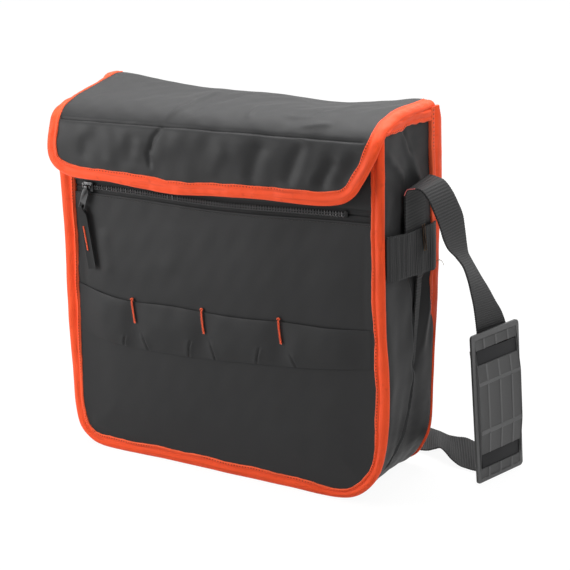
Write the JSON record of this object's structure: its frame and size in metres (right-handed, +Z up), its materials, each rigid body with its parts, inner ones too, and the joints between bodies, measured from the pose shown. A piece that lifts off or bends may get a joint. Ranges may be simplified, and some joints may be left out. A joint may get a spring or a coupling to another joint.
{
  "type": "zippered tool bag",
  "caption": "Soft shoulder tool bag with a fold-over flap, zipped front pocket, tool loops and a webbing strap with a moulded pad.",
  "frame": {"origin": "centre of the bag's own box, without its strap, on the floor it stands on", "axes": "+Z up, the pocket side faces -Y, +X is to the right seen from the front"},
  "size_m": [0.422, 0.1766, 0.3303],
  "materials": {
    "cloth": "coated woven nylon, charcoal",
    "edge_tape": "woven orange edge tape",
    "thread": "orange bar-tack thread",
    "webbing": "black ribbed polypropylene webbing",
    "zip_nylon": "black nylon coil and tape",
    "zip_metal": "gunmetal paint",
    "fastener": "black hook and loop tape",
    "pad_rubber": "moulded grey rubber",
    "board": "black moulded plastic"
  },
  "bodies": {
    "bag": {"front_wall": "cloth", "pocket_panel": "cloth", "pocket_top_strip": "cloth", "front_top_hem": "edge_tape", "front_binding": "edge_tape", "zip_tape_upper": "zip_nylon", "zip_tape_lower": "zip_nylon", "zip_coil_upper": "zip_nylon", "zip_coil_lower": "zip_nylon", "zip_stop_left": "zip_metal", "zip_stop_right": "zip_metal", "tool_loop_band": "cloth", "loop_bartack_left": "thread", "loop_bartack_middle": "thread", "loop_bartack_right": "thread", "gusset": "cloth", "base_board": "board", "gusset_hem_right": "edge_tape", "gusset_hem_left": "edge_tape", "back_panel": "cloth", "back_binding": "edge_tape", "side_webbing_right": "webbing", "side_webbing_left": "webbing", "side_bartack_right": "thread", "side_bartack_left": "thread", "strap_tail_right": "webbing", "strap_tail_left": "webbing", "front_patch_left": "fastener", "front_patch_right": "fastener", "shoulder_strap": "webbing"},
    "flap": {"flap_top": "cloth", "flap_binding_left": "edge_tape", "flap_binding_right": "edge_tape"},
    "lip": {"flap_lip": "cloth", "lip_binding": "edge_tape", "flap_patch_left": "fastener", "flap_patch_right": "fastener"},
    "slider": {"zip_slider": "zip_metal"},
    "tab": {"pull_tab": "zip_metal"},
    "ribbon": {"pull_ribbon": "cloth", "ribbon_stitch": "thread"},
    "pad": {"shoulder_pad": "pad_rubber"},
    "adjuster": {"strap_adjuster": "board"}
  },
  "joints": [
    {"name": "flap_lift", "type": "hinge", "parent": "bag", "child": "flap", "pos_m": [0, 0.05545, 0.3265], "axis": [-1, 0, 0], "range_deg": [0, 250]},
    {"name": "lip_fold", "type": "hinge", "parent": "flap", "child": "lip", "pos_m": [0, -0.05535, 0.309], "axis": [-1, 0, 0], "range_deg": [0, 95]},
    {"name": "zip_slide", "type": "slide", "parent": "bag", "child": "slider", "axis": [1, 0, 0], "range_m": [0, 0.24]},
    {"name": "tab_swing", "type": "hinge", "parent": "slider", "child": "tab", "pos_m": [-0.123, -0.04775, 0.249], "axis": [-1, 0, 0], "range_deg": [0, 95]},
    {"name": "ribbon_swing", "type": "hinge", "parent": "tab", "child": "ribbon", "pos_m": [-0.12993, -0.04775, 0.22997], "axis": [-1, 0, 0], "range_deg": [0, 90]},
    {"name": "pad_slide", "type": "slide", "parent": "bag", "child": "pad", "axis": [-0.0664, 0.0213, 0.9976], "range_m": [0, 0.01]},
    {"name": "adjuster_slide", "type": "slide", "parent": "bag", "child": "adjuster", "axis": [0, -0.2756, 0.9613], "range_m": [-0.02, 0.02]}
  ]
}
